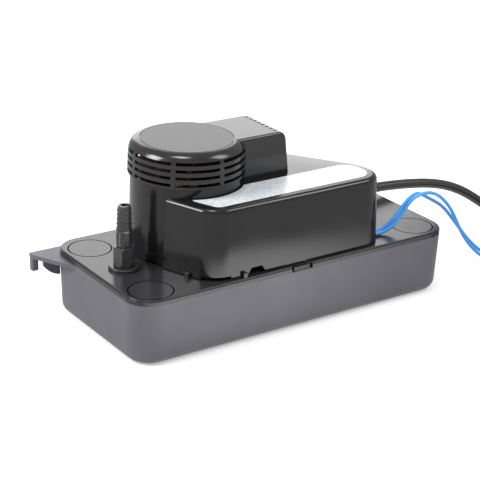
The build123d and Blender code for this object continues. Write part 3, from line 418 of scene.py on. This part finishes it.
def pick(kind, test):
    """In edit mode, selects just the vertices, edges or faces that pass a test."""
    bpy.ops.mesh.select_mode(type=kind)
    bpy.ops.mesh.select_all(action="DESELECT")
    mesh = bmesh.from_edit_mesh(bpy.context.object.data)
    items = {"VERT": mesh.verts, "EDGE": mesh.edges, "FACE": mesh.faces}[kind]
    for item in items:
        item.select_set(test(item))
    mesh.select_flush_mode()
    bmesh.update_edit_mesh(bpy.context.object.data)


def finish_piece(name, material, smooth_angle=35):
    """Names the piece, leaves its place in its mesh, and gives it its material and smooth sides."""
    if bpy.context.object.mode == "EDIT":
        bpy.ops.object.mode_set(mode="OBJECT")
    piece = bpy.context.object
    piece.name = name
    bpy.ops.object.transform_apply(location=True, rotation=True, scale=True)
    bpy.ops.object.shade_smooth_by_angle(angle=math.radians(smooth_angle))
    piece.data.materials.clear()
    piece.data.materials.append(material)
    return piece


def combine(piece, other, how):
    """Joins or cuts a piece with another, which is then removed."""
    only(piece)
    change = piece.modifiers.new("combine", "BOOLEAN")
    change.operation = how
    change.solver = "EXACT"
    change.object = other
    bpy.ops.object.modifier_apply(modifier=change.name)
    bpy.data.objects.remove(other)


def mm_place(*place):
    """A place given in mm, in metres."""
    return [value * MM for value in place]


def block(low, high):
    """A plain block between two corners, for cutting."""
    start_edit()
    middle = [(a + b) / 2 for a, b in zip(low, high)]
    bpy.ops.mesh.primitive_cube_add(size=1.0, location=mm_place(*middle))
    bpy.context.object.scale = mm_place(*[b - a for a, b in zip(low, high)])
    bpy.ops.object.transform_apply(location=True, rotation=True, scale=True)
    return bpy.context.object


# ---------------------------------------------------------------- motor cover
COVER_LEFT, COVER_RIGHT, COVER_FRONT, COVER_BACK = -93.5, 79.0, -59.5, 50.0
COVER_WALL, COVER_DRAFT, COVER_TOP_ROUND = 2.2, math.radians(2.2), 3.4
DRUM_FOOT_R, DRUM_TOP_R, LABEL_CUT_R = 41.6, 41.0, 42.8
GLAND_HOLE_R = 6.1
# the walls that stand askew: from, to
LEFT_WALL = ((-93.5, -18.5), (-78.0, -59.5))
SLANT_WALL = ((79.0, -29.9), (24.6, 50.0))
DRUM_CHORD = ((-57.5, 50.0), (-93.5, -18.5))
SKEW_WALLS = (LEFT_WALL, SLANT_WALL, DRUM_CHORD)
# notches in the cover's lower edge, as two corners each
CORNER_NOTCH = ((-84, -63, 51), (-62, -49, 53.8))
DRUM_NOTCH = ((-103, -16.5, 51), (-93, -1.5, 53.3))
LEAD_GATE = ((69, -49.1, 51), (81, -41.1, 56))
FRONT_NOTCH = ((-48.7, -63, 50), (-31, -53, 56.2))
FRONT_NOTCH_MIDDLE = (-40.2, -58, 56.2)
# how far each upright corner's rounding runs along its walls
COVER_ROUNDS = {(-78.0, -59.5): 13.1, (79.0, -59.5): 18.5, (79.0, -29.9): 10.5, (24.6, 50.0): 7.4}


def rounded_plan(left, right, front, back, cuts, rounds, inset, height):
    """A flat outline: a rectangle, cut along slanting lines and rounded at its corners."""
    start_edit()
    middle = mm_place((left + right) / 2, (front + back) / 2, height)
    bpy.ops.mesh.primitive_plane_add(size=1.0, location=middle)
    plan = bpy.context.object
    plan.scale = mm_place(right - left, back - front, 1000)
    bpy.ops.object.transform_apply(location=True, rotation=True, scale=True)
    start_edit(plan)
    for (ax, ay), (bx, by) in cuts:
        outward = Vector((-(by - ay), bx - ax, 0)).normalized()
        pick("FACE", lambda face: True)
        bpy.ops.mesh.bisect(plane_co=mm_place(ax, ay, height), plane_no=-outward, clear_outer=True)
    for (x, y), reach in rounds.items():
        corner = Vector(mm_place(x, y, height))
        mesh = bmesh.from_edit_mesh(plan.data)
        nearest = min(mesh.verts, key=lambda vert: (vert.co - corner).length).co.copy()
        pick("VERT", lambda vert: (vert.co - nearest).length < 1e-6)
        bpy.ops.mesh.bevel(offset=reach * MM, segments=10, affect="VERTICES", profile=0.5)
    if inset:
        pick("FACE", lambda face: True)
        bpy.ops.mesh.inset(thickness=inset * MM)
        bpy.ops.mesh.select_all(action="INVERT")
        bpy.ops.mesh.delete(type="FACE")
    return plan


def raised(plan, height, shrink, edge_round):
    """Draws a flat outline up into a block that narrows upwards, with a rounded upper edge."""
    pick("FACE", lambda face: True)
    low = min(vert.co.z for vert in bmesh.from_edit_mesh(plan.data).verts)
    bpy.ops.mesh.extrude_region_move(TRANSFORM_OT_translate={"value": (0, 0, height * MM)})
    xs = [vert.co.x for vert in bmesh.from_edit_mesh(plan.data).verts]
    ys = [vert.co.y for vert in bmesh.from_edit_mesh(plan.data).verts]
    centre = ((min(xs) + max(xs)) / 2, (min(ys) + max(ys)) / 2, low)
    wide, deep = max(xs) - min(xs), max(ys) - min(ys)
    bpy.ops.transform.resize(value=(1 - 2 * shrink * MM / wide, 1 - 2 * shrink * MM / deep, 1),
                             center_override=centre)
    if edge_round:
        top = low + height * MM - 1e-5
        pick("EDGE", lambda edge: all(vert.co.z > top for vert in edge.verts) and
             any(abs(face.normal.z) < 0.5 for face in edge.link_faces))
        bpy.ops.mesh.bevel(offset=edge_round * MM, segments=5, affect="EDGES", profile=0.5)
    bpy.ops.mesh.select_all(action="SELECT")
    bpy.ops.mesh.normals_make_consistent(inside=False)
    bpy.ops.object.mode_set(mode="OBJECT")
    return plan


def drum_block(r_foot, r_top, foot, top):
    """A round block on the motor's axis, for the drum and for cutting."""
    start_edit()
    bpy.ops.mesh.primitive_cone_add(vertices=128, radius1=r_foot * MM, radius2=r_top * MM,
                                    depth=(top - foot) * MM,
                                    location=mm_place(MOTOR_X, MOTOR_Y, (foot + top) / 2))
    bpy.ops.object.transform_apply(location=True, rotation=True, scale=True)
    return bpy.context.object


def make_cover():
    """The black housing: a box with a rounded end run together with the motor's drum."""
    box = (COVER_LEFT, COVER_RIGHT, COVER_FRONT, COVER_BACK, SKEW_WALLS, COVER_ROUNDS)
    height = COVER_TOP - COVER_FOOT
    shrink = height * math.tan(COVER_DRAFT)
    shell = raised(rounded_plan(*box, 0, COVER_FOOT), height, shrink, COVER_TOP_ROUND)
    hollow = raised(rounded_plan(*box, COVER_WALL, COVER_FOOT - 1), height + 1 - COVER_WALL, shrink, 0)
    bore = drum_block(DRUM_FOOT_R - COVER_WALL, DRUM_TOP_R - COVER_WALL, COVER_FOOT - 1, DRUM_TOP + 1)
    combine(shell, drum_block(DRUM_FOOT_R, DRUM_TOP_R, COVER_FOOT, DRUM_TOP), "UNION")
    combine(shell, hollow, "DIFFERENCE")
    combine(shell, bore, "DIFFERENCE")
    for low, high in (CORNER_NOTCH, DRUM_NOTCH, LEAD_GATE):
        combine(shell, block(low, high), "DIFFERENCE")
    # the wider notch in front has slanting ends
    notch = block(*FRONT_NOTCH)
    start_edit(notch)
    pick("FACE", lambda face: face.normal.z > 0.9)
    bpy.ops.transform.resize(value=(0.5, 1, 1), center_override=mm_place(*FRONT_NOTCH_MIDDLE))
    bpy.ops.object.mode_set(mode="OBJECT")
    combine(shell, notch, "DIFFERENCE")
    # round hole for the mains cord's strain relief
    way_out = Vector(RELIEF_AIM)
    start_edit()
    bpy.ops.mesh.primitive_cylinder_add(vertices=48, radius=GLAND_HOLE_R * MM, depth=14 * MM,
                                        location=mm_place(*GLAND),
                                        rotation=way_out.to_track_quat("Z", "Y").to_euler())
    bpy.ops.object.transform_apply(location=True, rotation=True, scale=True)
    combine(shell, bpy.context.object, "DIFFERENCE")
    only(shell)
    shell = finish_piece("cover_shell", cover_abs, 32)
    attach(shell, "frame")
    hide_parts("motor_cover")


LABEL_LEFT, LABEL_RIGHT, LABEL_FRONT, LABEL_BACK, FILM_THICK = -76.5, 69.5, -51.0, -22.0, 0.3
LABEL_SLANT = ((-76.5, -32.5), (-68.5, -51.0))
LABEL_ROUNDS = {(69.5, -51.0): 12.0, (69.5, -22.0): 13.0, (-68.5, -51.0): 3.5}


def make_label():
    """The bare white film on the cover's top, cut round the drum."""
    plan = rounded_plan(LABEL_LEFT, LABEL_RIGHT, LABEL_FRONT, LABEL_BACK, (LABEL_SLANT,), LABEL_ROUNDS, 0,
                        COVER_TOP)
    label = raised(plan, FILM_THICK, 0, 0)
    combine(label, drum_block(LABEL_CUT_R, LABEL_CUT_R, COVER_TOP - 3.5, COVER_TOP + 6.5), "DIFFERENCE")
    only(label)
    label = finish_piece("label_film", plate_film, 20)
    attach(label, "frame")
    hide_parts("info_plate")


make_label()
make_cover()


# ---------------------------------------------------------------- turned and threaded pieces
def turned_block(profile, place, direction, sides=48):
    """A turned solid from (distance along its axis, radius) pairs, standing at place along direction."""
    start_edit()
    reach, radius = profile[0]
    bpy.ops.mesh.primitive_circle_add(vertices=sides, radius=radius * MM, fill_type="NGON",
                                      location=(0, 0, 0))
    piece = bpy.context.object
    start_edit(piece)
    bpy.ops.mesh.select_all(action="SELECT")
    bpy.ops.transform.translate(value=(0, 0, reach * MM))
    for next_reach, next_radius in profile[1:]:
        bpy.ops.mesh.extrude_region_move(TRANSFORM_OT_translate={"value": (0, 0, (next_reach - reach) * MM)})
        scale = next_radius / radius
        bpy.ops.transform.resize(value=(scale, scale, 1), center_override=(0, 0, 0))
        reach, radius = next_reach, next_radius
    bpy.ops.mesh.select_all(action="SELECT")
    bpy.ops.mesh.normals_make_consistent(inside=False)
    bpy.ops.object.mode_set(mode="OBJECT")
    piece.rotation_euler = Vector(direction).to_track_quat("Z", "Y").to_euler()
    piece.location = mm_place(*place)
    bpy.ops.object.transform_apply(location=True, rotation=True, scale=True)
    return piece


def ribbed(start, end, radius_start, radius_end, pitch, depth):
    """The (distance, radius) steps of a tapered flex with grooves round it."""
    steps = [(start, radius_start)]
    count = int((end - start) / pitch)
    for groove in range(count):
        here = start + (groove + 0.45) * pitch
        radius = radius_start + (radius_end - radius_start) * (here - start) / (end - start)
        steps += [(here, radius), (here + 0.12 * pitch, radius - depth),
                  (here + 0.4 * pitch, radius - depth), (here + 0.52 * pitch, radius)]
    return steps + [(end, radius_end)]


def make_relief():
    """Snap-in strain relief: two flanges that grip the cover's wall, then a ribbed taper."""
    inner_flange = [(-3.8, 8.0), (-2.25, 8.0), (-2.24, 6.0), (0.03, 6.0)]
    outer_flange = [(0.04, 7.2), (0.5, 7.6), (1.6, 7.6), (2.0, 7.2), (2.01, 6.0)]
    taper = ribbed(2.6, 21.6, 6.0, 4.8, 2.9, 0.9) + [(22.0, 4.4)]
    turned_block(inner_flange + outer_flange + taper, GLAND, RELIEF_AIM)
    relief = finish_piece("ribbed_relief", cord_pvc, 40)
    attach(relief, "frame")
    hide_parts("strain_relief")
    return relief


THREAD_FOOT, THREAD_TOP, THREAD_R, THREAD_PITCH, RIDGE_R = 68.6, 79.0, 5.3, 1.41, 0.58


def make_thread():
    """The pipe thread above the hexagon, a ridge wound up the barb's shank."""
    start_edit()
    bpy.ops.mesh.primitive_circle_add(vertices=6, radius=RIDGE_R * MM, location=(0, 0, 0),
                                      rotation=(math.pi / 2, 0, 0))
    ridge = bpy.context.object
    bpy.ops.object.transform_apply(location=True, rotation=True, scale=True)
    start_edit(ridge)
    bpy.ops.mesh.select_all(action="SELECT")
    bpy.ops.transform.translate(value=(THREAD_R * MM, 0, 0))
    bpy.ops.object.mode_set(mode="OBJECT")
    wind = ridge.modifiers.new("wind", "SCREW")
    wind.screw_offset = THREAD_PITCH * MM
    wind.iterations = int((THREAD_TOP - THREAD_FOOT) / THREAD_PITCH)
    wind.steps = 36
    wind.use_merge_vertices = True
    wind.merge_threshold = 1e-6
    bpy.ops.object.modifier_apply(modifier="wind")
    start_edit(ridge)
    pick("EDGE", lambda edge: len(edge.link_faces) == 1)
    bpy.ops.mesh.edge_face_add()
    bpy.ops.mesh.select_all(action="SELECT")
    bpy.ops.mesh.normals_make_consistent(inside=False)
    bpy.ops.object.mode_set(mode="OBJECT")
    ridge.location = mm_place(VALVE_X, VALVE_Y, THREAD_FOOT + 0.3)
    thread = finish_piece("barb_thread", barb_nylon, 75)
    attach(thread, "frame")


PLUG_FACE, PLUG_SHOULDER = 40, 16        # how far the grip's two ends lie from the neck's tip
PLUG_HALF_WIDE, PLUG_HALF_THICK = 12.5, 11
GRIP_GROOVES, GROOVE_FIRST, GROOVE_PITCH = 4, 34, 3.6
GROOVE_WIDE, GROOVE_HALF_LONG, GROOVE_FLOOR = 1.5, 8.5, 10.3


def make_plug():
    """A moulded mains plug: a grooved grip, then a ribbed neck down to the cord."""
    x, y, z = PLUG_NECK
    face, shoulder = x - PLUG_FACE, x - PLUG_SHOULDER
    body = block((face, y - PLUG_HALF_WIDE, z - PLUG_HALF_THICK),
                 (shoulder, y + PLUG_HALF_WIDE, z + PLUG_HALF_THICK))
    start_edit(body)
    pick("EDGE", lambda edge: abs((edge.verts[0].co - edge.verts[1].co).x) > 1 * MM)
    bpy.ops.mesh.bevel(offset=5 * MM, segments=5, affect="EDGES", profile=0.5)
    pick("EDGE", lambda edge: all(vert.co.x > (shoulder - 0.1) * MM for vert in edge.verts) or
         all(vert.co.x < (face + 0.1) * MM for vert in edge.verts))
    bpy.ops.mesh.bevel(offset=1.6 * MM, segments=3, affect="EDGES", profile=0.5)
    bpy.ops.object.mode_set(mode="OBJECT")
    for side in (-1, 1):
        for groove in range(GRIP_GROOVES):
            at = x - GROOVE_FIRST + groove * GROOVE_PITCH
            low, high = sorted((z + side * GROOVE_FLOOR, z + side * (PLUG_HALF_THICK + 1)))
            cut = block((at, y - GROOVE_HALF_LONG, low), (at + GROOVE_WIDE, y + GROOVE_HALF_LONG, high))
            combine(body, cut, "DIFFERENCE")
    profile = [(-22, 7.2)] + ribbed(-17, -1, 7.5, 5.0, 2.6, 0.8) + [(0, 4.6)]
    neck = turned_block(profile, PLUG_NECK, (1, 0, 0))
    combine(body, neck, "UNION")
    only(body)
    plug = finish_piece("moulded_plug", cord_pvc, 40)
    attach(plug, "frame")
    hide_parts("plug_body")
    return plug


make_thread()
make_relief()
make_plug()


# ---------------------------------------------------------------- room: floor, backdrop and light
def soft_light(name, place, aim, size, power):
    """One rectangular softbox; its place and size in metres, its power in watts."""
    data = bpy.data.lights.new(name, "AREA")
    data.shape = "RECTANGLE"
    data.size, data.size_y = size
    data.energy = power
    light = bpy.data.objects.new(name, data)
    light.location = place
    light.rotation_euler = (Vector(aim) - Vector(place)).to_track_quat("-Z", "Y").to_euler()
    bpy.context.scene.collection.objects.link(light)


def shown_to(tree, ray, plain, seen):
    """One shader for a kind of ray and another for all other rays."""
    path = add_node(tree, "ShaderNodeLightPath")
    switch = add_node(tree, "ShaderNodeMixShader")
    tree.links.new(path.outputs[ray], switch.inputs[0])
    tree.links.new(plain, switch.inputs[1])
    tree.links.new(seen, switch.inputs[2])
    return switch.outputs[0]


POOL_X, POOL_Y = -0.03, -0.185           # middle of the painted pool of light on the table in front of the pump, shown only in reflections
POOL_LONG, POOL_DEEP = 0.25, 0.125
POOL_GAIN, TABLE_GLOW = 2.7, 0.75
GLOW_NEAR, GLOW_FAR, NEAR_GLOW, FAR_GLOW = 0.7, 2.2, 0.35, 1.0   # how the table whitens with distance


def make_floor():
    """White paper table: it shows as white, and to gloss it glows, with a painted pool of light just in
    front of the pump.
    """
    bpy.ops.object.select_all(action="DESELECT")
    bpy.ops.mesh.primitive_plane_add(size=12.0, location=(0, 0, -0.0002))
    floor = bpy.context.object
    floor.name = "floor"
    material = bpy.data.materials.new("floor_paper_white")
    material.use_nodes = True
    tree = material.node_tree
    tree.nodes.clear()
    paper = add_node(tree, "ShaderNodeBsdfDiffuse", {"Color": linear("F4F4F4")}).outputs[0]
    place = add_node(tree, "ShaderNodeTexCoord").outputs["Object"]
    far = add_node(tree, "ShaderNodeVectorMath", links={0: place}, operation="LENGTH")
    fade = add_node(tree, "ShaderNodeMapRange", {"From Min": GLOW_NEAR, "From Max": GLOW_FAR,
                                                 "To Min": NEAR_GLOW, "To Max": FAR_GLOW},
                    {"Value": far.outputs["Value"]})
    glow = add_node(tree, "ShaderNodeEmission", {"Color": linear("FFFFFF")},
                    {"Strength": fade.outputs["Result"]}).outputs[0]
    both = add_node(tree, "ShaderNodeAddShader")
    tree.links.new(paper, both.inputs[0])
    tree.links.new(glow, both.inputs[1])
    shift = (-POOL_X / POOL_LONG, -POOL_Y / POOL_DEEP, 0)
    stretch = (1 / POOL_LONG, 1 / POOL_DEEP, 1)
    centred = add_node(tree, "ShaderNodeMapping", {"Location": shift, "Scale": stretch}, {"Vector": place})
    away = add_node(tree, "ShaderNodeVectorMath", links={0: centred.outputs[0]}, operation="LENGTH")
    # painted light: a brighter glowing pool, seen only by glossy rays, paints brighter reflections low on
    # the pump's glossy sides
    painted_light_pool = add_node(tree, "ShaderNodeMapRange", {"From Min": 1.2, "From Max": 0.25, "To Min": TABLE_GLOW,
                                                 "To Max": TABLE_GLOW + POOL_GAIN},
                    {"Value": away.outputs["Value"]}, interpolation_type="SMOOTHERSTEP")
    mirrored_with_painted_pool = add_node(tree, "ShaderNodeEmission", {"Color": linear("FFFFFF")},
                        {"Strength": painted_light_pool.outputs["Result"]}).outputs[0]
    seen = shown_to(tree, "Is Camera Ray", paper, both.outputs[0])
    seen = shown_to(tree, "Is Glossy Ray", seen, mirrored_with_painted_pool)
    add_node(tree, "ShaderNodeOutputMaterial", links={"Surface": seen})
    floor.data.materials.append(material)


def make_world():
    """White backdrop to the eye, an even soft room to everything else."""
    world = bpy.data.worlds.new("studio")
    bpy.context.scene.world = world
    world.use_nodes = True
    tree = world.node_tree
    tree.nodes.clear()
    room = add_node(tree, "ShaderNodeBackground", {"Color": linear("FFFFFF"), "Strength": 0.5}).outputs[0]
    white = add_node(tree, "ShaderNodeBackground", {"Color": linear("FFFFFF"), "Strength": 1.0}).outputs[0]
    add_node(tree, "ShaderNodeOutputWorld", links={"Surface": shown_to(tree, "Is Camera Ray", room, white)})


PUMP_MIDDLE, PUMP_TOP = (0, 0, 0.05), (0, 0, 0.08)

make_world()
make_floor()
soft_light("left_box", (-1.5, 0.45, 1.2), PUMP_MIDDLE, (0.8, 0.8), 26)
soft_light("right_box", (1.0, -0.75, 1.35), PUMP_MIDDLE, (0.6, 0.9), 9)
soft_light("overhead_box", (-0.35, -0.1, 1.9), PUMP_MIDDLE, (0.5, 0.5), 8)
soft_light("backdrop_light", (0.89, 1.74, 0.84), PUMP_TOP, (1.38, 1.3), 11)
bpy.context.scene.view_settings.view_transform = "Standard"
